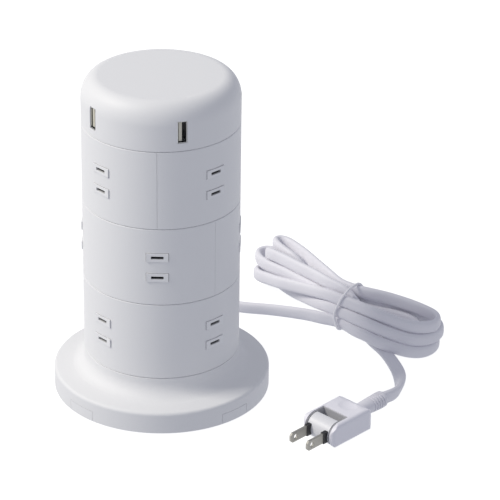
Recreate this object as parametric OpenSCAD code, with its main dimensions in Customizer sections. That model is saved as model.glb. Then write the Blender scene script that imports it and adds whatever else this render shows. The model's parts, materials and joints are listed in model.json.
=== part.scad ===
// Tower power strip: three tiers of outlets, a USB cap, a round base, a bundled flat cord
// and a swing plug. Millimetres, +Z up, origin on the tower's axis at the floor.

/* [Base] */
// Diameter of the base
base_d = 128; // [120:1:136]
// Height of the top of the base's side wall
base_side_h = 14; // [13:0.5:16]
// Height of the base, up to the first tier
base_h = 27; // [26:0.5:30]
// Wall thickness of the base cover
base_wall = 2.2; // [1.8:0.1:2.6]
// How far the rubber feet stand proud of the base plate
foot_proud = 0.8; // [0.6:0.1:1.2]
// Width of a snap tab of the base plate
tab_w = 19.5; // [16:0.5:22]

/* [Tower] */
// Diameter of the tower
tower_d = 92; // [90:0.5:94]
// Height of one tier
tier_h = 48; // [46:0.5:52]
// Wall thickness of the tier shells and the cap
shell_t = 2.4; // [2:0.1:2.8]
// Height of the USB cap
cap_h = 28; // [27:0.5:32]
// Sideways reach of the rounding on the cap's top edge
cap_round_r = 10; // [7:0.5:12]
// Height of the rounding on the cap's top edge
cap_round_h = 13; // [9:0.5:14]

/* [Outlets] */
// Distance between the two blades of a plug
blade_pitch = 12.7; // [12.7:0.1:12.8]
// Width of a blade slot
slot_w = 7.2; // [7:0.1:7.6]
// Height of a blade slot
slot_h = 1.8; // [1.7:0.1:2.2]
// Width of the shell window around a slot
window_w = 13.2; // [13:0.1:16]
// Height of the shell window around a slot
window_h = 5.5; // [5:0.1:7]
// How far the slot's flat face stands out of the shell's surface
face_proud = 0.3; // [0:0.1:0.6]

/* [USB sockets] */
// Number of sockets around the cap
usb_count = 5; // [3:1:6]
// Width of a socket, measured around the cap
usb_w = 5.6; // [5.4:0.1:6]
// Height of a socket
usb_h = 13.2; // [13:0.1:13.6]
// Length of a socket, measured toward the axis
usb_len = 14; // [12:0.5:15]

/* [Plug] */
// Width of the plug body
plug_w = 24.6; // [23:0.1:25]
// Thickness of the plug body
plug_t = 15.6; // [15.4:0.1:18]
// Length of the plug body behind the drum's axis
plug_back = 31; // [29:0.1:32]
// Radius of the swinging drum
drum_r = 7.4; // [7.1:0.1:7.5]
// Free length of a blade, from the drum's surface
blade_len = 15.8; // [15.5:0.1:18.5]
// Height of a blade
blade_h = 6.3; // [6.2:0.05:6.5]
// Thickness of a blade
blade_t = 1.5; // [1.4:0.05:1.6]
// Swing of the blades out of their straight position
swing = 0; // [-90:5:90]

/* [Cord] */
// Width of the flat cord
cord_w = 8; // [7:0.1:8.2]
// Thickness of the flat cord
cord_t = 4.6; // [4:0.1:4.8]

/* [Hidden] */
$fn = 96;
hair = 0.01;

base_r = base_d / 2;
tower_r = tower_d / 2;
shell_in_r = tower_r - shell_t;
seam = 0.1;
edge_cut = 0.3;

plate_top = 3.2;
plate_r = base_r - base_wall - 0.2;
collar_z = base_h - 3;
fillet_r = 9;
side_edge_r = 2;
deck_t = 2.4;
tab_h = 6.5;
tab_gap = 0.2;
foot_r = 6;
foot_sink = 1.2;
foot_ring_r = 50;
boss_ring_r = 50;
boss_r = 3.6;
boss_top = 13;
screw_r = 1.4;
screw_head_r = 2.8;
screw_head_h = 2;
tab_turns = [45, 135, 225, 315];

hub_r = 17;
hub_bore_r = 5.2;
rod_x = 11;
rod_r = 1.9;
rod_fit = 0.1;
rod_head_r = 3.4;
rod_head_h = 2.6;
wire_y = 3;
wire_r = 1.3;
block_w = 24;
block_h = 30;
block_front = sqrt(pow(shell_in_r, 2) - pow(block_w / 2, 2)) - 0.3;
face_y = tower_r + face_proud;
strip_r_in = 19.5;
strip_r_out = 23;
strip_t = 2.7;
leaf_t = 0.6;
leaf_w = 6.6;
leaf_end = 38;
lead_tab_w = 4;
lead_tab_t = 1.2;
tier_z = [base_h, base_h + tier_h, base_h + 2 * tier_h];
outlet_turn = [45, 0, 45];
shell_turn = [90, 45, 0];

cap_z = base_h + 3 * tier_h;
top_z = cap_z + cap_h;
usb_z = cap_z + 11.5;
usb_turns = [for (i = [0 : usb_count - 1]) 18 + i * 360 / usb_count];
usb_front = sqrt(pow(tower_r, 2) - pow(usb_w / 2, 2)) - 0.4;
board_top = usb_z - usb_h / 2;
board_t = 1.6;
sheet = 0.35;
board_r = shell_in_r - 0.4;
stud_turns = [for (turn = usb_turns) turn + 180 / usb_count];
stud_ring_r = 37;
stud_h = top_z - 3.2 - board_top;

exit_z = 7.4;
bush_tip = base_r + 18;
bush_inner = base_r - 7;
bush_flange_r = 6.2;
bush_tip_r = 5.2;
bush_neck_r = 5;
anchor_y = 42;

plug_at = [97.9, -65.5];
plug_turn = -132.5;
axis_z = plug_t / 2;
arm_in = 9.5;
liner_out = 9.1;
liner_in = 8.6;
drum_half = 8;
window_back = 8.4;
rear_corner_r = 9.5;
trunnion_r = 2.4;
trunnion_fit = 0.06;
trunnion_end = 10.8;
relief_end = 49.5;
relief_r = 4.9;
neck_r = 4.4;
sleeve_len = 2.8;
blade_root = 0.5;
sleeve_h = 7;
sleeve_t = 2.6;

hank_at = [110.2, 74.9];
hank_turn = -37.3;
hank_h = 28.6;
tie_u = 0;
tie_t = 1.6;
hank_circles = [[-67, 16.5, 16.6], [0, 0.5, 8.4], [45.5, 3, 19.8]];

// Route of the cord from the bush to the bundle. The fourth number is its lean, 0 on edge, 90 flat
lead_route = [
    [0, 62, 7.4, 0], [0, 72, 7.4, 0], [0, 82, 7.4, 0], [1, 89, 6.8, 0], [5, 95, 6.2, 0], [10, 99, 5.6, 0],
    [17, 101.6, 5, -3], [24, 101.6, 4.5, -6], [30, 99, 4.1, -9], [35, 95.5, 4, -11], [39, 92.5, 4, -11],
    [43, 90.4, 4, -11], [48, 89, 4, -11], [57, 87.8, 4, -11], [65, 86.6, 4, -10], [73, 84.9, 4, -8],
    [81, 82.9, 4, -6], [88.5, 80.5, 4, -3], [95, 77.9, 4, 0], [100, 75.7, 4, 0]
];
// Route of the cord from the bundle to the plug, flat on the floor and rolled up through its bend
tail_route = [
    [130.5, 46, 2.3, 90], [133.6, 39, 2.3, 90], [136.6, 31.5, 2.3, 90], [139.2, 23, 2.5, 86],
    [141.2, 14, 3.2, 74], [142.2, 5.5, 4, 58], [142.3, -3, 4.4, 40], [141.2, -12, 5, 23],
    [139, -19, 6, 9], [135.6, -24.6, 7.1, 2], [131.34, -29, 7.8, 0]
];

// Puts its children at an azimuth around the tower; 0 faces -Y
module around(turn) {
    rotate([0, 0, turn]) children();
}

// Turns a solid made along +Z so that it runs along +Y at the cord's exit
module at_exit() {
    translate([0, 0, exit_z]) rotate([-90, 0, 0]) children();
}

// Places a solid made in the plug's own frame: +X is the way the blades point
module in_plug() {
    translate([plug_at.x, plug_at.y, 0]) rotate([0, 0, plug_turn]) children();
}

// The same frame, carried around the drum's axis by the swing
module on_drum() {
    in_plug() translate([0, 0, axis_z]) rotate([0, -swing, 0]) children();
}

// A cylinder along Y, centred on the plug's axis
module cross_rod(r, half) {
    rotate([90, 0, 0]) cylinder(r = r, h = 2 * half, center = true);
}

// A flat-section bar of cord, upright on its edge, along +Y
module cord_bar(from_y, to_y, gap) {
    translate([-cord_t / 2 - gap, from_y, exit_z - cord_w / 2 - gap])
        cube([cord_t + 2 * gap, to_y - from_y, cord_w + 2 * gap]);
}

// Cord section as a ten-sided oval: width up, thickness sideways
function cord_ring(sides) = [
    for (i = [0 : sides - 1]) [cord_t / 2 * cos(i * 360 / sides), cord_w / 2 * sin(i * 360 / sides)]
];

// Level direction of a route at point i, from its neighbours
function route_heading(route, i) =
    let (
        a = route[max(i - 1, 0)],
        b = route[min(i + 1, len(route) - 1)]
    )
    atan2(b.y - a.y, b.x - a.x);

// Sweeps the cord's section along a route
module cord_tube(route) {
    sides = 10;
    ring = cord_ring(sides);
    n = len(route);
    points = [
        for (i = [0 : n - 1])
            let (
                heading = route_heading(route, i),
                lean = route[i][3]
            )
            for (p = ring)
                let (
                    side = p.x * cos(lean) + p.y * sin(lean),
                    up = p.y * cos(lean) - p.x * sin(lean)
                )
                [
                    route[i].x - sin(heading) * side,
                    route[i].y + cos(heading) * side,
                    max(route[i].z + up, hair)
                ]
    ];
    walls = [
        for (i = [0 : n - 2], j = [0 : sides - 1], upper = [0, 1])
            let (
                a = i * sides + j,
                b = i * sides + (j + 1) % sides
            )
            upper == 1 ? [b, b + sides, a + sides] : [a, b, a + sides]
    ];
    first = [for (j = [sides - 1 : -1 : 0]) j];
    last = [for (j = [0 : sides - 1]) (n - 1) * sides + j];
    polyhedron(points, concat([first], walls, [last]), convexity = 4);
}

// Points of a circular arc in a profile
function arc(center, r, from, to, steps) = [
    for (i = [0 : steps])
        let (a = from + (to - from) * i / steps)
        [center.x + r * cos(a), center.y + r * sin(a)]
];

module base_cover() {
    fillet_at = [tower_r + fillet_r, collar_z];
    outer = concat(
        [[base_r, foot_proud], [base_r, base_side_h - side_edge_r]],
        arc([base_r - side_edge_r, base_side_h - side_edge_r], side_edge_r, 15, 90, 5),
        arc(fillet_at, fillet_r, 270, 180, 12),
        [[tower_r, base_h - seam - edge_cut], [tower_r - edge_cut, base_h - seam], [0, base_h - seam]]
    );
    inner = concat(
        [[0, base_h - deck_t], [tower_r - base_wall, base_h - deck_t]],
        arc(fillet_at, fillet_r + base_wall, 180, 262, 12),
        [[base_r - base_wall, base_side_h - side_edge_r - 0.6], [base_r - base_wall, foot_proud]]
    );
    color("whitesmoke") difference() {
        union() {
            rotate_extrude() polygon(concat(outer, inner));
            for (turn = tab_turns)
                around(turn) translate([0, -boss_ring_r, plate_top + 1.8])
                    cylinder(r = boss_r, h = boss_top - plate_top - 1.8 + 0.6);
        }
        for (turn = tab_turns) {
            around(turn) translate([0, -boss_ring_r, 0])
                cylinder(r = screw_r - 0.15, h = boss_top - 1);
            around(turn) translate([-tab_w / 2, -base_r - 1, -1])
                cube([tab_w, base_wall + 3, foot_proud + tab_h + 1]);
        }
        at_exit() cylinder(r = bush_neck_r + 0.05, h = base_r + 2);
        translate([0, 0, base_h - deck_t - 1]) cylinder(r = hub_bore_r, h = deck_t + 2);
        for (side = [-1, 1])
            translate([side * rod_x, 0, base_h - deck_t - 1]) cylinder(r = rod_r + rod_fit, h = deck_t + 2);
    }
}

module base_plate() {
    tab_top = foot_proud + tab_h - tab_gap;
    color("gainsboro") difference() {
        union() {
            translate([0, 0, foot_proud]) cylinder(r = plate_r, h = plate_top - foot_proud);
            for (turn = tab_turns) {
                around(turn) intersection() {
                    translate([0, 0, foot_proud]) difference() {
                        cylinder(r = base_r, h = tab_top - foot_proud);
                        translate([0, 0, -1]) cylinder(r = plate_r - 2, h = tab_h + 2);
                    }
                    translate([-tab_w / 2 + tab_gap, -base_r - 1, foot_proud])
                        cube([tab_w - 2 * tab_gap, base_wall + 2.8, tab_h]);
                }
                around(turn) translate([0, -boss_ring_r, plate_top - hair])
                    cylinder(r = boss_r + 1, h = 1.8);
            }
            for (side = [-1, 1])
                translate([side * 8, anchor_y, plate_top - hair])
                    cylinder(r = 2.8, h = exit_z + cord_w / 2 - plate_top);
        }
        for (turn = tab_turns) {
            around(turn) translate([0, -boss_ring_r, 0]) cylinder(r = screw_r + 0.15, h = 8);
            around(turn) translate([0, -boss_ring_r, 0])
                cylinder(r = screw_head_r + 0.2, h = foot_proud + screw_head_h + 0.2);
            around(turn + 45) translate([0, -foot_ring_r, 0])
                cylinder(r = foot_r + 0.1, h = foot_proud + foot_sink);
        }
        for (side = [-1, 1])
            translate([side * 8, anchor_y, plate_top + 1]) cylinder(r = screw_r - 0.15, h = 12);
        at_exit() translate([0, 0, bush_inner - 0.5]) cylinder(r = bush_flange_r + 0.1, h = base_wall + 8);
    }
}

module rubber_feet() {
    color("dimgray") for (turn = tab_turns)
        around(turn + 45) translate([0, -foot_ring_r, 0]) cylinder(r = foot_r, h = foot_proud + foot_sink);
}

// A pan-head screw with a cross recess, head down at z = 0
module screw(shank_r, head_r, head_h, length) {
    difference() {
        union() {
            cylinder(r = head_r, h = head_h);
            translate([0, 0, head_h - hair]) cylinder(r = shank_r, h = length);
        }
        for (turn = [0, 90])
            rotate([0, 0, turn]) translate([-head_r * 0.6, -0.4, -1]) cube([head_r * 1.2, 0.8, 2]);
    }
}

module base_screws() {
    color("silver") for (turn = tab_turns)
        around(turn) translate([0, -boss_ring_r, foot_proud + 0.2])
            screw(screw_r - 0.2, screw_head_r, screw_head_h, boss_top - 5);
}

module cord_clamp() {
    bar_z = exit_z + cord_w / 2;
    color("gainsboro") difference() {
        translate([-11.5, anchor_y - 3, bar_z]) cube([23, 6, 2.4]);
        for (side = [-1, 1])
            translate([side * 8, anchor_y, bar_z - 1]) cylinder(r = screw_r, h = 5);
    }
}

module clamp_screws() {
    color("silver") for (side = [-1, 1])
        translate([side * 8, anchor_y, exit_z + cord_w / 2 + 2.4 + screw_head_h]) rotate([180, 0, 0])
            screw(screw_r - 0.2, screw_head_r - 0.2, screw_head_h, 8);
}

// Two shell windows, one for each blade slot of an outlet
module outlet_windows() {
    for (side = [-1, 1])
        translate([-window_w / 2, -tower_r - 1, tier_h / 2 + side * blade_pitch / 2 - window_h / 2])
            cube([window_w, shell_t + 4, window_h]);
}

// Half of one tier's shell. side = 1 is to the right of the seam, -1 to the left
module tier_shell(tier, side) {
    lip = 3;
    lip_t = 2.2;
    high = tier_h - seam;
    profile = [
        [shell_in_r - lip, seam], [tower_r - edge_cut, seam], [tower_r, seam + edge_cut],
        [tower_r, high - edge_cut], [tower_r - edge_cut, high], [shell_in_r - lip, high],
        [shell_in_r - lip, high - lip_t], [shell_in_r, high - lip_t],
        [shell_in_r, seam + lip_t], [shell_in_r - lip, seam + lip_t]
    ];
    color("whitesmoke") translate([0, 0, tier_z[tier]]) difference() {
        rotate_extrude() polygon(profile);
        around(shell_turn[tier])
            translate([side > 0 ? -2 * tower_r + seam / 2 : -seam / 2, -tower_r - 1, -1])
                cube([2 * tower_r, 2 * tower_r + 2, tier_h + 2]);
        for (i = [0 : 3])
            around(outlet_turn[tier] + 90 * i) outlet_windows();
    }
}

// The insulating core of one tier: a hub and four outlet blocks
module tier_core(tier) {
    pad_gap = 0.2;
    pocket_h = 5.6;
    pocket_w = 8.4;
    block_z = (tier_h - block_h) / 2;
    color("gainsboro") translate([0, 0, tier_z[tier]]) difference() {
        union() {
            translate([0, 0, seam]) cylinder(r = hub_r, h = tier_h - 2 * seam);
            for (i = [0 : 3])
                around(outlet_turn[tier] + 90 * i) {
                    translate([-block_w / 2, -block_front, block_z])
                        cube([block_w, block_front - 10, block_h]);
                    for (side = [-1, 1])
                        translate([-window_w / 2 + pad_gap, -face_y,
                                   tier_h / 2 + side * blade_pitch / 2 - window_h / 2 + pad_gap])
                            cube([window_w - 2 * pad_gap, face_y - block_front + 1, window_h - 2 * pad_gap]);
                }
        }
        translate([0, 0, -1]) cylinder(r = hub_bore_r, h = tier_h + 2);
        for (side = [-1, 1]) {
            translate([side * rod_x, 0, -1]) cylinder(r = rod_r + rod_fit, h = tier_h + 2);
            translate([0, 0, tier_h / 2 + side * blade_pitch / 2]) {
                difference() {
                    cylinder(r = strip_r_out + 0.5, h = strip_t + 0.6, center = true);
                    cylinder(r = strip_r_in - 0.5, h = strip_t + 2, center = true);
                }
                for (i = [0 : 3])
                    around(outlet_turn[tier] + 90 * i) {
                        translate([-pocket_w / 2, -leaf_end - 1, -pocket_h / 2])
                            cube([pocket_w, leaf_end + 1 - strip_r_in, pocket_h]);
                        translate([-slot_w / 2, -face_y - 1, -slot_h / 2]) cube([slot_w, 13, slot_h]);
                    }
                translate([-lead_tab_w / 2 - 0.3, side > 0 ? 0 : -strip_r_in, -lead_tab_t / 2 - 0.2])
                    cube([lead_tab_w + 0.6, strip_r_in, lead_tab_t + 0.4]);
            }
        }
    }
}

// A brass ring with four pairs of leaves. side = 1 is the upper, live one
module contact_strip(tier, side) {
    color("goldenrod") translate([0, 0, tier_z[tier] + tier_h / 2 + side * blade_pitch / 2]) {
        difference() {
            union() {
                cylinder(r = strip_r_out, h = strip_t, center = true);
                for (i = [0 : 3])
                    around(outlet_turn[tier] + 90 * i)
                        translate([-leaf_w / 2, -leaf_end, -strip_t / 2])
                            cube([leaf_w, leaf_end - strip_r_in - 1, strip_t]);
            }
            cylinder(r = strip_r_in, h = strip_t + 1, center = true);
            for (i = [0 : 3])
                around(outlet_turn[tier] + 90 * i)
                    translate([-leaf_w, -leaf_end - 1, leaf_t - strip_t / 2])
                        cube([2 * leaf_w, leaf_end + 1 - strip_r_out - 1, strip_t - 2 * leaf_t]);
        }
        translate([-lead_tab_w / 2, side > 0 ? wire_y + wire_r : -strip_r_in - 0.3, -lead_tab_t / 2])
            cube([lead_tab_w, strip_r_in + 0.3 - wire_y - wire_r, lead_tab_t]);
    }
}

// A wire up through the hubs, crimped at its foot to a shorter one that runs to the clamp
module riser(y, foot_z, end) {
    foot = [0, y, foot_z];
    run = end - foot;
    barrel_h = 5;
    translate(foot) cylinder(r = wire_r, h = board_top - board_t - foot_z);
    translate([0, y, foot_z - barrel_h / 2]) cylinder(r = wire_r + 0.6, h = barrel_h);
    translate(foot) rotate([0, acos(run.z / norm(run)), atan2(run.y, run.x)])
        cylinder(r = wire_r, h = norm(run));
}

module live_riser() {
    color("firebrick") riser(wire_y, 19, [1.0, anchor_y - 6.5, exit_z + 1.6]);
}

module neutral_riser() {
    color("white") riser(-wire_y, 14, [-1.0, anchor_y - 6.5, exit_z - 1.6]);
}

module tie_rods() {
    color("silver") for (side = [-1, 1])
        translate([side * rod_x, 0, base_h - deck_t - rod_head_h])
            screw(rod_r, rod_head_r, rod_head_h, deck_t + 3 * tier_h - 2);
}

module usb_cap() {
    steps = 14;
    rounding = [
        for (i = [0 : steps])
            let (a = 90 * i / steps)
            [cap_round_r * cos(a) - cap_round_r, cap_round_h * sin(a) - cap_round_h]
    ];
    low = cap_z + seam;
    outer = concat(
        [[tower_r - edge_cut, low], [tower_r, low + edge_cut]],
        [for (p = rounding) [tower_r + p.x, top_z + p.y]],
        [[0, top_z]]
    );
    inner = concat(
        [[0, top_z - shell_t]],
        [for (i = [steps : -1 : 0]) [shell_in_r + rounding[i].x, top_z - shell_t + rounding[i].y]],
        [[shell_in_r, low]]
    );
    color("whitesmoke") difference() {
        union() {
            rotate_extrude() polygon(concat(outer, inner));
            for (turn = stud_turns)
                around(turn) translate([0, -stud_ring_r, board_top]) cylinder(r = 2.6, h = stud_h);
        }
        for (turn = usb_turns)
            around(turn) translate([-usb_w / 2 - 0.1, -tower_r - 1, usb_z - usb_h / 2 - 0.1])
                cube([usb_w + 0.2, shell_t + 3, usb_h + 0.2]);
        for (turn = stud_turns)
            around(turn) translate([0, -stud_ring_r, board_top - 1]) cylinder(r = screw_r - 0.3, h = 9);
    }
}

module usb_board() {
    color("seagreen") difference() {
        translate([0, 0, board_top - board_t]) cylinder(r = board_r, h = board_t);
        for (turn = stud_turns)
            around(turn) translate([0, -stud_ring_r, board_top - board_t - 1])
                cylinder(r = screw_r, h = board_t + 2);
    }
}

module board_screws() {
    head_h = 1.4;
    color("silver") for (turn = stud_turns)
        around(turn) translate([0, -stud_ring_r, board_top - board_t - head_h])
            screw(screw_r - 0.4, screw_head_r - 0.4, head_h, 8);
}

module usb_shells() {
    color("silver") for (turn = usb_turns)
        around(turn) translate([-usb_w / 2, -usb_front, board_top]) difference() {
            cube([usb_w, usb_len, usb_h]);
            translate([sheet, -1, sheet]) cube([usb_w - 2 * sheet, usb_len - sheet + 1, usb_h - 2 * sheet]);
        }
}

module usb_tongues() {
    color("beige") for (turn = usb_turns)
        around(turn) translate([-usb_w / 2 + 1, -usb_front + 1, board_top + 1])
            cube([1.8, usb_len - sheet - 1, usb_h - 2]);
}

module transformer() {
    color("gold") translate([-9, -8, board_top]) cube([18, 16, 13]);
}

module capacitors() {
    color("black") for (spot = [[-19, 6], [-19, -7], [18, 9]])
        translate([spot.x, spot.y, board_top]) cylinder(r = 4, h = 11);
}

module cord_inner() {
    color("gainsboro") cord_bar(anchor_y - 6, lead_route[0].y, 0);
}

module cord_bush() {
    profile = [
        [0, bush_inner], [bush_flange_r, bush_inner], [bush_flange_r, base_r - base_wall - 1.2],
        [bush_neck_r, base_r - base_wall - 1.2], [bush_neck_r, base_r + 0.3],
        [bush_flange_r, base_r + 0.3], [bush_flange_r, base_r + 2], [bush_flange_r - 0.5, base_r + 2.5],
        [bush_tip_r, bush_tip], [0, bush_tip]
    ];
    color("gainsboro") difference() {
        at_exit() rotate_extrude() polygon(profile);
        cord_bar(bush_inner - 1, bush_tip + 1, 0.05);
        for (i = [0 : 3])
            at_exit() translate([0, 0, base_r + 5 + 3.2 * i]) difference() {
                cylinder(r = bush_flange_r + 1, h = 1);
                translate([0, 0, -1]) cylinder(r = 4.9, h = 3);
            }
    }
}

module cord_lead() {
    color("gainsboro") cord_tube(lead_route);
}

module cord_tail() {
    color("gainsboro") cord_tube(tail_route);
}

// Outline of the bundle, seen from above, in its own frame
module hank_outline() {
    for (i = [0 : len(hank_circles) - 2])
        hull() for (c = [hank_circles[i], hank_circles[i + 1]])
            translate([c[0], c[1]]) circle(r = c[2], $fn = 32);
}

// The band around the bundle's waist, as a frame of a given thickness
module tie_frame(t) {
    waist = hank_circles[1];
    deep = 2 * waist[2] - 1.2;
    translate([hank_at.x, hank_at.y, 0]) rotate([0, 0, hank_turn])
        translate([tie_u - tie_t, waist[1] - deep / 2, 0]) difference() {
            cube([2 * tie_t, deep, hank_h]);
            translate([-1, t, t]) cube([2 * tie_t + 2, deep - 2 * t, hank_h - 2 * t]);
        }
}

module cord_hank() {
    color("gainsboro") difference() {
        translate([hank_at.x, hank_at.y, 0]) rotate([0, 0, hank_turn])
            linear_extrude(hank_h) hank_outline();
        difference() {
            translate([hank_at.x, hank_at.y, 0]) rotate([0, 0, hank_turn])
                translate([tie_u - tie_t, -30, -1]) cube([2 * tie_t, 60, hank_h + 2]);
            hank_waist();
        }
    }
}

// What is left of the bundle inside the tie
module hank_waist() {
    waist = hank_circles[1];
    deep = 2 * waist[2] - 1.2;
    translate([hank_at.x, hank_at.y, 0]) rotate([0, 0, hank_turn])
        translate([tie_u - tie_t - 1, waist[1] - deep / 2 + tie_t, tie_t])
            cube([2 * tie_t + 2, deep - 2 * tie_t, hank_h - 2 * tie_t]);
}

module cord_tie() {
    color("white") tie_frame(tie_t);
}

// Outline of the plug, seen from above
module plug_plan() {
    half_w = plug_w / 2;
    front_corner_r = 4;
    rear = -plug_back + rear_corner_r;
    front = plug_t / 2 - front_corner_r;
    for (side = [-1, 1]) {
        translate([rear, side * (half_w - rear_corner_r)]) circle(r = rear_corner_r);
        translate([front, side * (half_w - front_corner_r)]) circle(r = front_corner_r);
    }
    translate([rear, -half_w]) square([front - rear, plug_w]);
    translate([-plug_back, -half_w + rear_corner_r]) square([rear_corner_r, plug_w - 2 * rear_corner_r]);
    translate([front, -half_w + front_corner_r]) square([front_corner_r, plug_w - 2 * front_corner_r]);
}

// Outline of the plug, seen from the side, with the drum's axis at the origin
module plug_side() {
    half = plug_t / 2;
    low_r = 4.4;
    top_r = 11;
    circle(r = half);
    difference() {
        translate([-plug_back, -half]) square([plug_back, plug_t]);
        translate([-plug_back, -half]) square(low_r);
        translate([-plug_back, half - top_r]) square(top_r);
    }
    translate([-plug_back + low_r, -half + low_r]) circle(r = low_r);
    translate([-plug_back + top_r, half - top_r]) circle(r = top_r);
}

// Section across the plug, with its rounded long edges
module plug_section() {
    low_r = 4.2;
    top_r = 2.6;
    half_w = plug_w / 2;
    for (side = [-1, 1]) {
        translate([side * (half_w - low_r), low_r]) circle(r = low_r);
        translate([side * (half_w - top_r), plug_t - top_r]) circle(r = top_r);
    }
    translate([-half_w, low_r]) square([plug_w, plug_t - low_r - top_r]);
    translate([-half_w + low_r, 0]) square([plug_w - 2 * low_r, plug_t]);
    translate([-half_w + top_r, low_r]) square([plug_w - 2 * top_r, plug_t - low_r]);
}

module plug_body() {
    dimple_r = 20;
    color("whitesmoke") in_plug() difference() {
        intersection() {
            linear_extrude(plug_t) plug_plan();
            translate([0, 0, axis_z]) rotate([90, 0, 0])
                linear_extrude(plug_w + 2, center = true) plug_side();
            translate([-plug_back - 1, 0, 0]) rotate([90, 0, 90])
                linear_extrude(plug_back + plug_t) plug_section();
        }
        translate([-window_back, -arm_in, -1]) cube([window_back + plug_t, 2 * arm_in, plug_t + 2]);
        translate([0, 0, axis_z]) cross_rod(trunnion_r + trunnion_fit, trunnion_end + 0.1);
        translate([-19, 0, plug_t + dimple_r - 1]) sphere(r = dimple_r);
        translate([-plug_back - 1, 0, axis_z]) rotate([0, 90, 0]) cylinder(r = neck_r + 0.05, h = 7);
    }
}

// The thin inner frame between the arms and the drum
module plug_liner() {
    gap = 0.3;
    front_r = plug_t / 2 - gap;
    color("gainsboro") in_plug() difference() {
        intersection() {
            translate([-window_back + 0.1, -liner_out, gap]) cube([40, 2 * liner_out, plug_t - 2 * gap]);
            union() {
                translate([-30, -20, 0]) cube([30, 40, plug_t]);
                translate([0, 0, axis_z]) cross_rod(front_r, 20);
            }
        }
        translate([-window_back + 0.8, -liner_in, -1]) cube([40, 2 * liner_in, plug_t + 2]);
        translate([0, 0, axis_z]) cross_rod(trunnion_r + trunnion_fit, 12);
    }
}

module plug_relief() {
    profile = [
        [0, 24], [neck_r, 24], [neck_r, plug_back + 0.1],
        [relief_r + 0.1, relief_end - 5], [relief_r, relief_end - 1.2], [relief_r - 0.8, relief_end],
        [0, relief_end]
    ];
    color("gainsboro") in_plug() translate([0, 0, axis_z]) rotate([0, -90, 0]) difference() {
        rotate_extrude() polygon(profile);
        for (i = [0 : 4])
            translate([0, 0, relief_end - 12 + 2 * i]) difference() {
                cylinder(r = 8, h = 0.9);
                translate([0, 0, -1]) cylinder(r = relief_r - 0.7, h = 3);
            }
    }
}

module plug_drum() {
    flat_back = 1.5;
    color("white") on_drum() difference() {
        union() {
            intersection() {
                cross_rod(drum_r, drum_half);
                translate([-flat_back, -10, -10]) cube([20, 20, 20]);
            }
            cross_rod(trunnion_r, trunnion_end);
        }
        for (side = [-1, 1]) {
            translate([4, side * blade_pitch / 2 - sleeve_t / 2, -sleeve_h / 2])
                cube([10, sleeve_t, sleeve_h]);
            translate([blade_root, side * blade_pitch / 2 - blade_t / 2, -blade_h / 2])
                cube([10, blade_t, blade_h]);
        }
    }
}

module plug_blades() {
    tip = drum_r + blade_len;
    chamfer = 1.4;
    color("darkgray") on_drum() for (side = [-1, 1])
        translate([0, side * blade_pitch / 2, 0]) rotate([90, 0, 0])
            difference() {
                linear_extrude(blade_t, center = true) polygon([
                    [blade_root, -blade_h / 2], [tip - chamfer, -blade_h / 2],
                    [tip, -blade_h / 2 + chamfer], [tip, blade_h / 2 - chamfer],
                    [tip - chamfer, blade_h / 2], [blade_root, blade_h / 2]
                ]);
                translate([tip - 4, 0, 0]) cylinder(r = 1.5, h = 4, center = true);
            }
}

module blade_sleeves() {
    color("black") on_drum() for (side = [-1, 1])
        translate([0, side * blade_pitch / 2, 0]) difference() {
            translate([4, -sleeve_t / 2, -sleeve_h / 2]) cube([drum_r + sleeve_len - 4, sleeve_t, sleeve_h]);
            translate([3, -blade_t / 2, -blade_h / 2]) cube([12, blade_t, blade_h]);
        }
}

base_cover();
base_plate();
rubber_feet();
base_screws();
cord_clamp();
clamp_screws();
tier_shell(0, 1);  // shell_lower_a
tier_shell(0, -1);  // shell_lower_b
tier_shell(1, 1);  // shell_middle_a
tier_shell(1, -1);  // shell_middle_b
tier_shell(2, 1);  // shell_upper_a
tier_shell(2, -1);  // shell_upper_b
tier_core(0);  // core_lower
tier_core(1);  // core_middle
tier_core(2);  // core_upper
contact_strip(0, 1);  // live_strip_lower
contact_strip(1, 1);  // live_strip_middle
contact_strip(2, 1);  // live_strip_upper
contact_strip(0, -1);  // neutral_strip_lower
contact_strip(1, -1);  // neutral_strip_middle
contact_strip(2, -1);  // neutral_strip_upper
live_riser();
neutral_riser();
tie_rods();
usb_cap();
usb_board();
board_screws();
usb_shells();
usb_tongues();
transformer();
capacitors();
cord_inner();
cord_bush();
cord_lead();
cord_hank();
cord_tie();
cord_tail();
plug_body();
plug_liner();
plug_relief();
plug_drum();
plug_blades();
blade_sleeves();
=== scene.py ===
"""Looks of a stacked power strip: a tower of sockets on a wide foot, with its flat cord bundled beside it.

The CAD nodes are the shapes. This script adds the cord's real run, the wire that ties it, materials and light.
Everything is in metres, in the frame of the CAD model.
"""

import json
import math

import bpy
import numpy as np
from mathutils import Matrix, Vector


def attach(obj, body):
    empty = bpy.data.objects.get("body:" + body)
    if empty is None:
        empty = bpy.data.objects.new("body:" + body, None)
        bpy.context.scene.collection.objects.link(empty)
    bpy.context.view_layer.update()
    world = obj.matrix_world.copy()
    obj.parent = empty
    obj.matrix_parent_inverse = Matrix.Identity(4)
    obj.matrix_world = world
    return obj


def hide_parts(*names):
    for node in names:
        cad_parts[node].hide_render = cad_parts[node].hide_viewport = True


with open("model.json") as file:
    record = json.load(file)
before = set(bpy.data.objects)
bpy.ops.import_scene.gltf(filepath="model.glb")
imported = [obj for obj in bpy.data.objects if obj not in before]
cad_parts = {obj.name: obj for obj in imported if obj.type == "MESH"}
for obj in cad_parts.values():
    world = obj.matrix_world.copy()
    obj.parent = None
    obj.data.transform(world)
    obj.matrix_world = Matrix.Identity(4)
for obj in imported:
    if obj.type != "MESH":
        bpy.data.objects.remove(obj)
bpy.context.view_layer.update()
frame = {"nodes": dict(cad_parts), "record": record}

MM = 0.001

# ---------------------------------------------------------------- camera

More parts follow.
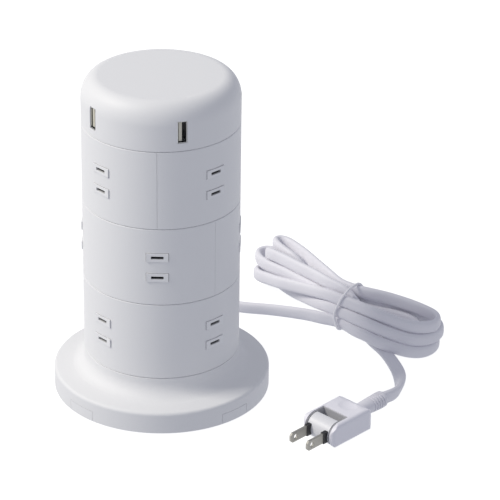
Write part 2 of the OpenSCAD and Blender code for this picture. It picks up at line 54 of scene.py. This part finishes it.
CAMERA_AT = (0.0758, -1.4469, 0.8101)
CAMERA_LOOKS = (-0.0412, 0.8939, -0.4463)
CAMERA_LENS = 199.14
SENSOR_WIDTH = 36
CAMERA_CLIP = (0.05, 50)
CAMERA_SHIFT = 0.146

camera_data = bpy.data.cameras.new("camera")
camera = bpy.data.objects.new("camera", camera_data)
bpy.context.scene.collection.objects.link(camera)
camera.location = CAMERA_AT
camera.rotation_mode = "QUATERNION"
camera.rotation_quaternion = Vector(CAMERA_LOOKS).to_track_quat("-Z", "Y")
camera_data.lens = CAMERA_LENS
camera_data.sensor_width = SENSOR_WIDTH
camera_data.shift_x = CAMERA_SHIFT
camera_data.clip_start, camera_data.clip_end = CAMERA_CLIP
bpy.context.scene.camera = camera

# ---------------------------------------------------------------- cord

CORD_W = 8.0
CORD_T = 4.2
CORD_SIDES = 20
CORD_STEP = 1.0
# Power of the section's superellipse: 1 is an oval, less is squarer
ROUNDNESS = 2 / 2.6
BUNDLE_AT = (110.2, 74.9)
BUNDLE_TURN = math.radians(-37.3)

# The cord's centre from the bush to the bundle, in mm: x, y, z, then its lean, 0 on edge and 90 flat
LEAD = [
    (0, 62, 7.4, 0), (0, 72, 7.4, 0), (0, 82, 7.4, 0), (1, 89, 6.8, 0), (5, 95, 6.2, 0), (10, 99, 5.6, 0),
    (17, 101.6, 5, -3), (24, 101.6, 4.5, -6), (30, 99, 4.1, -9), (35, 95.5, 4, -11), (39, 92.5, 4, -11),
    (43, 90.4, 4, -11), (48, 89, 4, -11), (57, 87.8, 4, -11), (65, 86.6, 4, -10), (73, 84.9, 4, -8),
    (81, 82.9, 4, -6), (88.5, 80.5, 4, -3), (96, 77.2, 4, 0),
]

# Nine passes through the bundle, in its own frame: along it, across it, z, lean
BUNDLE = [
    # low right loop
    (-3.8, -4.3, 4, 0), (3, -4.6, 4, 0), (10.4, -6.6, 4, 0), (19, -9.6, 5.4, 0), (28, -13.2, 7.2, 0),
    (38, -16, 8.1, 0), (47.3, -14, 7, 0), (54, -10.2, 5.4, 0), (59, -5.4, 4.4, 0), (61.8, 1, 4, 0),
    (62, 7, 4, 0), (60, 12.8, 4, 0), (55.5, 17.2, 4, 0), (48, 19.2, 4, 0), (38, 17.8, 4, 0),
    (28, 13.6, 4.4, 0), (18, 8.4, 6, 0), (8, 3.6, 8, 0),
    # second left loop
    (0, 0.6, 8.6, 0), (-12, 3, 8.8, 0), (-25, 6, 9.2, 0), (-35, 8.8, 10.2, 0), (-43, 11.4, 11.4, 0),
    (-50, 14.4, 12.6, 0), (-62, 21.4, 15, 0), (-70.5, 24.6, 16.5, 0), (-77, 24.4, 17.3, 0),
    (-80.8, 21.6, 17.5, 0), (-81.8, 17.4, 17.5, 0), (-79.4, 13.2, 17.5, 0), (-75, 9.9, 17.4, 0),
    (-69, 7.6, 17.4, 0), (-60, 6.3, 17.4, 0), (-51, 5.4, 17.4, 0), (-42, 4.2, 17.3, 0),
    (-32, 2.8, 17.1, 0), (-21, 1.3, 16.8, 0), (-10, 0.3, 16.6, 0),
    # small right loop
    (0, 0, 16.5, 0), (8, 1.4, 15.6, 0), (16, 6, 13.4, 0), (24, 10.6, 12.2, 0), (32, 12.8, 12, 0),
    (40, 12.9, 12, 0), (47, 10.4, 12, 0), (51.6, 6, 12, 0), (51.4, 1.4, 12.2, 0), (46, -2.4, 12.6, 0),
    (36, -4.2, 12.8, 0), (26, -3.6, 13, 0), (18, -2.2, 14, 0), (11, -0.8, 16.6, 0), (5, 0, 20.4, 0),
    # small left loop
    (0, 0.2, 23.2, 0), (-12, 1.1, 24.4, -6), (-21.5, 2.6, 24.8, -8), (-31, 4.3, 25, -8),
    (-41, 5.8, 25, -8), (-51, 7.6, 25, -8), (-61, 9.0, 25, -6), (-67.4, 10.0, 24.6, -3),
    (-70.6, 12.2, 22.8, 0), (-70.9, 15.4, 20, 0), (-67, 17.2, 17.4, 0), (-58, 14.6, 16.4, 0),
    (-50, 11.2, 16.6, 0), (-38, 8.4, 16.8, 0), (-26, 7, 16.8, 0), (-12, 5.4, 16.6, 0),
    # middle right loop
    (0, 4.6, 16.4, 0), (10, 7.6, 15.2, 0), (20, 13, 14.2, 0), (30, 17.6, 13.8, 0), (40, 20.6, 13.4, 0),
    (50, 21.4, 12.8, 0), (57.4, 19, 12.2, 0), (61.8, 14, 12, 0), (63.2, 7, 12, 0), (61.4, -0.4, 12, 0),
    (57, -6.4, 12.4, 0), (49, -11, 13.8, 0), (38, -13.6, 15.4, 0), (27, -11.4, 14.6, 0),
    (16, -8, 12.9, 0), (8, -6, 12, 0),
    # low left loop
    (0, -5.1, 12, 0), (-5, -4.4, 11.8, 0), (-19, -0.6, 9.2, 0), (-35, 3.9, 7, 0), (-48, 8.2, 5.2, 0),
    (-60, 12.6, 4.6, 0), (-68, 14.8, 5.6, 0), (-74, 14.4, 7.6, 0), (-77.2, 10.8, 9, 0),
    (-75.6, 6.9, 9.5, 0), (-71, 4.5, 9.9, 0), (-64, 3, 10.9, 0), (-53, 0.9, 12.6, 0),
    (-44, 0.2, 14, 0), (-34, -0.4, 15.5, 0), (-18, -1.9, 18, 0), (-7, -3.6, 19.6, 0),
    # high right loop
    (0, -4.6, 20, 0), (8, -4.9, 20, 0), (16, -6.1, 20.6, 0), (24.7, -8.4, 21.8, 0), (35, -10.2, 22.6, 0),
    (46, -9.2, 21.8, 0), (54, -6.2, 20.6, 0), (60, -1.6, 20.1, 0), (63.2, 4.4, 20, 0),
    (61.8, 10.4, 20, 0), (56.6, 14.8, 20, 0), (49, 16.2, 20.2, 0), (40, 16.2, 20.6, 0),
    (31, 14.6, 21.4, 0), (22, 11.2, 22.8, 0), (13, 7, 24, 0), (6, 4.7, 24.5, 0),
    # high left loop, ending in a dive to the floor behind the other strands
    (0, 4.2, 24.6, 0), (-6, 4.6, 24.4, -6), (-16.5, 8.4, 24.1, -16), (-27.2, 13.4, 23.9, -22),
    (-38, 18.5, 23.6, -26), (-47, 22.6, 23.6, -26), (-55, 25.7, 23.9, -24), (-63.4, 28.3, 24.2, -16),
    (-69.8, 29.3, 24.6, -6), (-73.4, 28, 24.9, 0), (-74.4, 25.4, 25.1, 0), (-72.7, 22.5, 25.4, 0),
    (-66.3, 18.3, 25.8, 0), (-58.4, 15.4, 25.6, 0), (-52, 14.6, 24.2, 0), (-47, 14.6, 20.8, 8),
    (-42, 14.8, 15.4, 32), (-35, 14.4, 8.6, 66), (-25, 11, 3.4, 88), (-12, 6.5, 2.2, 90),
    # flat on the floor under the bundle
    (0, 3, 2.1, 90), (9, 1.2, 2.1, 90), (18, -2.4, 2.1, 90), (26, -7.4, 2.1, 90),
]

# From under the bundle to the plug, rolled up on edge through the bend
TAIL = [
    (133.6, 39, 2.1, 90), (136.6, 31.5, 2.1, 90), (139.2, 23, 2.3, 86), (141.2, 14, 2.9, 74),
    (142.2, 5.5, 3.7, 58), (142.3, -3, 4.3, 40), (141.2, -12, 5, 23), (139, -19, 6, 9),
    (135.6, -24.6, 7.1, 2), (131.34, -29, 7.8, 0),
]


def from_bundle(u, n):
    """A point of the bundle's frame in the object's frame, in mm."""
    c, s = math.cos(BUNDLE_TURN), math.sin(BUNDLE_TURN)
    return BUNDLE_AT[0] + u * c - n * s, BUNDLE_AT[1] + u * s + n * c


def natural_spline(points, step):
    """Points every step mm along a natural cubic spline through the given points."""
    p = np.array(points, float)
    t = np.concatenate([[0], np.cumsum(np.linalg.norm(np.diff(p[:, :3], axis=0), axis=1))])
    h = np.diff(t)
    count = len(t)
    a = np.eye(count)
    b = np.zeros_like(p)
    for i in range(1, count - 1):
        a[i, i - 1 : i + 2] = h[i - 1], 2 * (h[i - 1] + h[i]), h[i]
        b[i] = 6 * ((p[i + 1] - p[i]) / h[i] - (p[i] - p[i - 1]) / h[i - 1])
    m = np.linalg.solve(a, b)
    s = np.linspace(0, t[-1], int(t[-1] / step) + 1)
    k = np.clip(np.searchsorted(t, s, side="right") - 1, 0, count - 2)
    hk, r, q = h[k][:, None], (t[k + 1] - s)[:, None], (s - t[k])[:, None]
    return (
        m[k] * r**3 / (6 * hk)
        + m[k + 1] * q**3 / (6 * hk)
        + (p[k] / hk - m[k] * hk / 6) * r
        + (p[k + 1] / hk - m[k + 1] * hk / 6) * q
    )


def unit(v):
    return v / np.linalg.norm(v, axis=-1, keepdims=True)


def mesh_object(name, vertices, faces, smooth=True):
    mesh = bpy.data.meshes.new(name)
    mesh.from_pydata([tuple(v) for v in vertices], [], faces)
    mesh.polygons.foreach_set("use_smooth", [smooth] * len(mesh.polygons))
    mesh.update()
    made = bpy.data.objects.new(name, mesh)
    bpy.context.scene.collection.objects.link(made)
    return made


def sweep(name, centre, across, through, section, closed=False):
    """A tube: one ring of section per centre point, through and across being the section's two axes."""
    rings = (
        centre[:, None]
        + through[:, None] * section[None, :, :1]
        + across[:, None] * section[None, :, 1:]
    )
    n, sides = rings.shape[:2]
    faces = []
    for i in range(n if closed else n - 1):
        j = (i + 1) % n
        for k in range(sides):
            m = (k + 1) % sides
            faces.append((i * sides + k, j * sides + k, j * sides + m, i * sides + m))
    if not closed:
        faces.append(tuple(range(sides)))
        faces.append(tuple((n - 1) * sides + k for k in reversed(range(sides))))
    return mesh_object(name, rings.reshape(-1, 3) * MM, faces)


route = LEAD + [(*from_bundle(u, n), z, lean) for u, n, z, lean in BUNDLE] + TAIL
run = natural_spline(route, CORD_STEP)
centre, lean = run[:, :3], np.radians(run[:, 3:4])
along = unit(np.gradient(centre, axis=0))
side = unit(np.cross((0, 0, 1), along))
upward = np.cross(along, side)
width_axis = upward * np.cos(lean) + side * np.sin(lean)
thick_axis = side * np.cos(lean) - upward * np.sin(lean)
angle = np.linspace(0, 2 * math.pi, CORD_SIDES, endpoint=False)
flat_oval = np.stack(
    [
        CORD_T / 2 * np.sign(np.cos(angle)) * np.abs(np.cos(angle)) ** ROUNDNESS,
        CORD_W / 2 * np.sign(np.sin(angle)) * np.abs(np.sin(angle)) ** ROUNDNESS,
    ],
    axis=-1,
)
cord = sweep("cord_run", centre, width_axis, thick_axis, flat_oval)
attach(cord, "power_strip")
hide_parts("cord_lead", "cord_hank", "cord_tail")

# ---------------------------------------------------------------- the wire that ties the bundle

TIE_R = 0.8
TIE_SIDES = 10
TIE_STEP = 0.6
# Along, across and z in the bundle's frame, all the way round its waist
TIE = [
    (0.8, -7.6, 1.2), (-1.6, -8, 5), (-2.6, -8.1, 9), (-1.6, -8.1, 14), (0.2, -7.6, 18.5),
    (2, -7.2, 22.5), (3.8, -5.6, 26.4), (4.9, -2.5, 28.9), (5.5, 1.5, 29.6), (5.8, 5.2, 29.3),
    (6.8, 7.8, 26.5), (6.4, 8.2, 20), (5, 8, 12), (3.4, 7.2, 5), (2.2, 4, 0.9), (1.6, 0, 0.8),
    (1.2, -5, 0.8),
]


def closed_spline(points, step):
    """The same spline through a closed ring of points."""
    extra = 4
    wrapped = points[-extra:] + points + points[: extra + 1]
    p = np.array(wrapped, float)
    t = np.concatenate([[0], np.cumsum(np.linalg.norm(np.diff(p, axis=0), axis=1))])
    fine = natural_spline(wrapped, step)
    s = np.linspace(0, t[-1], len(fine))
    return fine[(s >= t[extra]) & (s < t[extra + len(points)] - step / 2)]


tie_line = closed_spline([(*from_bundle(u, n), z) for u, n, z in TIE], TIE_STEP)
tie_along = unit(np.roll(tie_line, -1, axis=0) - np.roll(tie_line, 1, axis=0))
tie_out = unit(tie_line - tie_line.mean(axis=0))
tie_across = unit(np.cross(tie_along, tie_out))
tie_out = np.cross(tie_across, tie_along)
tie_angle = np.linspace(0, 2 * math.pi, TIE_SIDES, endpoint=False)
tie_round = TIE_R * np.stack([np.cos(tie_angle), np.sin(tie_angle)], axis=-1)
tie = sweep("cord_tie_wire", tie_line, tie_across, tie_out, tie_round, closed=True)
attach(tie, "power_strip")
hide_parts("cord_tie")

# ---------------------------------------------------------------- materials

MOTTLE_SCALE = 38
UNEVEN = 0.05
BUMP_DEPTH = 0.0002
# Sockets of the colour mix node, by index because three share a name
MIX_A, MIX_B, MIX_OUT = 6, 7, 2
# Painted shade in the depths of the slots: how wide its fade is, in metres, and how dark it gets
SLOT_SHADE_FADE = 0.0024
SLOT_SHADE_DARK = (0.016, 0.016, 0.018)


def material(name, colour, rough=0.45, metal=0.0, grain=0.0, grain_size=900.0, mottle=0.02, glow=0.0,
             slot_shade_radius=0.0):
    """A material with its own fine grain, uneven gloss and faint mottling, all in the object's frame.

    Inside a given distance from the tower's axis the colour goes dark: painted shade for the depths of the
    slots.
    """
    m = bpy.data.materials.new(name)
    m.use_nodes = True
    nodes, links = m.node_tree.nodes, m.node_tree.links
    shader = nodes["Principled BSDF"]
    shader.inputs["Metallic"].default_value = metal
    place = nodes.new("ShaderNodeTexCoord").outputs["Object"]

    wide = nodes.new("ShaderNodeTexNoise")
    wide.inputs["Scale"].default_value = MOTTLE_SCALE
    wide.inputs["Detail"].default_value = 4
    links.new(place, wide.inputs["Vector"])
    tint = nodes.new("ShaderNodeMix")
    tint.data_type = "RGBA"
    tint.inputs[MIX_A].default_value = (*colour, 1)
    tint.inputs[MIX_B].default_value = (*(c * (1 - mottle * 2) for c in colour), 1)
    links.new(wide.outputs["Fac"], tint.inputs[0])
    links.new(tint.outputs[MIX_OUT], shader.inputs["Base Color"])

    # Painted shade: the colour goes dark toward the tower's axis, standing in for the shade deep in the slots
    if slot_shade_radius:
        flat = nodes.new("ShaderNodeVectorMath")
        flat.operation = "MULTIPLY"
        flat.inputs[1].default_value = (1, 1, 0)
        links.new(place, flat.inputs[0])
        radius = nodes.new("ShaderNodeVectorMath")
        radius.operation = "LENGTH"
        links.new(flat.outputs["Vector"], radius.inputs[0])
        slot_shade_mask = nodes.new("ShaderNodeMapRange")
        slot_shade_mask.inputs["From Min"].default_value = slot_shade_radius - SLOT_SHADE_FADE
        slot_shade_mask.inputs["From Max"].default_value = slot_shade_radius
        links.new(radius.outputs["Value"], slot_shade_mask.inputs["Value"])
        shade = nodes.new("ShaderNodeMix")
        shade.data_type = "RGBA"
        shade.inputs[MIX_A].default_value = (*SLOT_SHADE_DARK, 1)
        links.new(tint.outputs[MIX_OUT], shade.inputs[MIX_B])
        links.new(slot_shade_mask.outputs["Result"], shade.inputs[0])
        links.new(shade.outputs[MIX_OUT], shader.inputs["Base Color"])

    gloss = nodes.new("ShaderNodeMapRange")
    gloss.inputs["To Min"].default_value = rough - UNEVEN
    gloss.inputs["To Max"].default_value = rough + UNEVEN
    links.new(wide.outputs["Fac"], gloss.inputs["Value"])
    links.new(gloss.outputs["Result"], shader.inputs["Roughness"])

    if grain:
        fine = nodes.new("ShaderNodeTexNoise")
        fine.inputs["Scale"].default_value = grain_size
        fine.inputs["Detail"].default_value = 3
        links.new(place, fine.inputs["Vector"])
        bump = nodes.new("ShaderNodeBump")
        bump.inputs["Strength"].default_value = grain
        bump.inputs["Distance"].default_value = BUMP_DEPTH
        links.new(fine.outputs["Fac"], bump.inputs["Height"])
        links.new(bump.outputs["Normal"], shader.inputs["Normal"])
    if glow:
        shader.inputs["Emission Color"].default_value = (1, 1, 1, 1)
        shader.inputs["Emission Strength"].default_value = glow
    return m


FINISH = {
    "shell_white": dict(colour=(0.80, 0.80, 0.81), rough=0.54, grain=0.25, mottle=0.006),
    "base_white": dict(colour=(0.80, 0.80, 0.81), rough=0.6, grain=0.25, mottle=0.006),
    # The core's colour goes dark inside 46.2 mm of the tower's axis: painted shade for the depths of the slots
    "core_white": dict(colour=(0.84, 0.84, 0.85), rough=0.5, grain=0.3, slot_shade_radius=0.0462),
    "foot_rubber": dict(colour=(0.10, 0.10, 0.10), rough=0.85, grain=0.8, grain_size=500, mottle=0.1),
    "screw_steel": dict(colour=(0.55, 0.55, 0.56), rough=0.32, metal=1, grain=0.2),
    "contact_brass": dict(colour=(0.72, 0.53, 0.26), rough=0.35, metal=1, grain=0.2),
    "live_red": dict(colour=(0.45, 0.03, 0.02), rough=0.5, grain=0.2),
    "neutral_white": dict(colour=(0.72, 0.71, 0.68), rough=0.5, grain=0.2),
    "board_green": dict(colour=(0.03, 0.16, 0.06), rough=0.4, grain=0.2, mottle=0.08),
    "usb_steel": dict(colour=(0.52, 0.53, 0.55), rough=0.3, metal=1, grain=0.15),
    "tongue_cream": dict(colour=(0.70, 0.67, 0.56), rough=0.5, grain=0.1),
    "tape_yellow": dict(colour=(0.72, 0.52, 0.08), rough=0.4, grain=0.15),
    "can_black": dict(colour=(0.03, 0.03, 0.035), rough=0.35, grain=0.1),
    "cord_white": dict(colour=(0.80, 0.79, 0.84), rough=0.5, grain=0.3, grain_size=700, mottle=0.012),
    "tie_white": dict(colour=(0.90, 0.89, 0.92), rough=0.4, grain=0.2),
    "plug_white": dict(colour=(0.82, 0.81, 0.87), rough=0.48, grain=0.4, grain_size=1100, mottle=0.01),
    # Darker grey for the plug's liner: painted shade for the shadowed strip at the back of its window
    "liner_painted_shade": dict(colour=(0.45, 0.45, 0.47), rough=0.5, grain=0.3),
    "drum_white": dict(colour=(0.74, 0.74, 0.77), rough=0.42, grain=0.3, mottle=0.01),
    "blade_nickel": dict(colour=(0.42, 0.41, 0.38), rough=0.62, metal=0.8, grain=0.25, grain_size=400),
    "sleeve_black": dict(colour=(0.02, 0.02, 0.022), rough=0.5, grain=0.3),
}

finish_of = {name: material(name, **look) for name, look in FINISH.items()}
node_slot = {row["node"]: row["material_slot"] for row in frame["record"]["subparts"]}

EDGE = 0.00022
FINE_EDGE = 0.00008
EDGE_SEGMENTS = 2
EDGE_ANGLE = math.radians(32)
SAME_POINT = 0.00001
FLAT_WEIGHT = 100
FINE_SLOTS = {"usb_steel", "contact_brass", "board_green", "tape_yellow", "can_black", "tongue_cream"}

for name, node in frame["nodes"].items():
    slot = node_slot[name]
    node.data.materials.clear()
    # The plug's liner takes the darker grey of painted shade in place of its slot's finish
    node.data.materials.append(finish_of["liner_painted_shade" if name == "plug_liner" else slot])
    weld = node.modifiers.new("weld", "WELD")
    weld.merge_threshold = SAME_POINT
    bevel = node.modifiers.new("edge", "BEVEL")
    bevel.width = FINE_EDGE if slot in FINE_SLOTS else EDGE
    bevel.segments = EDGE_SEGMENTS
    bevel.limit_method = "ANGLE"
    bevel.angle_limit = EDGE_ANGLE
    even = node.modifiers.new("even", "WEIGHTED_NORMAL")
    even.weight = FLAT_WEIGHT

cord.data.materials.append(finish_of["cord_white"])
tie.data.materials.append(finish_of["tie_white"])

# ---------------------------------------------------------------- floor and light

FLOOR_HALF = 6.0
FLOOR_GLOW = 0.88
FLOOR_GREY = 0.3
floor = mesh_object(
    "floor",
    [(x * FLOOR_HALF, y * FLOOR_HALF, 0) for x, y in ((-1, -1), (1, -1), (1, 1), (-1, 1))],
    [(0, 1, 2, 3)],
    smooth=False,
)
floor_look = material("floor_pale", (FLOOR_GREY,) * 3, rough=0.9, mottle=0.003, glow=FLOOR_GLOW)
floor.data.materials.append(floor_look)
# The floor's own glow would light the object's sides from below
floor.visible_diffuse = False


KEY_AT = Vector((-2.37, -0.43, 2.4))
KEY_LOOKS_AT = Vector((0.05, 0, 0.08))
KEY_SIZE = 1.0
KEY_POWER = 77
KEY_COLOUR = (1, 0.965, 0.88)
SKY_COLOUR = (0.86, 0.89, 1.0, 1)
SKY_STRENGTH = 0.515

key_data = bpy.data.lights.new("key_left", "AREA")
key_data.size = KEY_SIZE
key_data.energy = KEY_POWER
key_data.color = KEY_COLOUR
key = bpy.data.objects.new("key_left", key_data)
key.location = KEY_AT
key.rotation_mode = "QUATERNION"
key.rotation_quaternion = (KEY_LOOKS_AT - KEY_AT).to_track_quat("-Z", "Y")
bpy.context.scene.collection.objects.link(key)

world = bpy.data.worlds.new("studio")
bpy.context.scene.world = world
world.use_nodes = True
world.node_tree.nodes["Background"].inputs["Color"].default_value = SKY_COLOUR
world.node_tree.nodes["Background"].inputs["Strength"].default_value = SKY_STRENGTH

bpy.context.scene.view_settings.view_transform = "Standard"
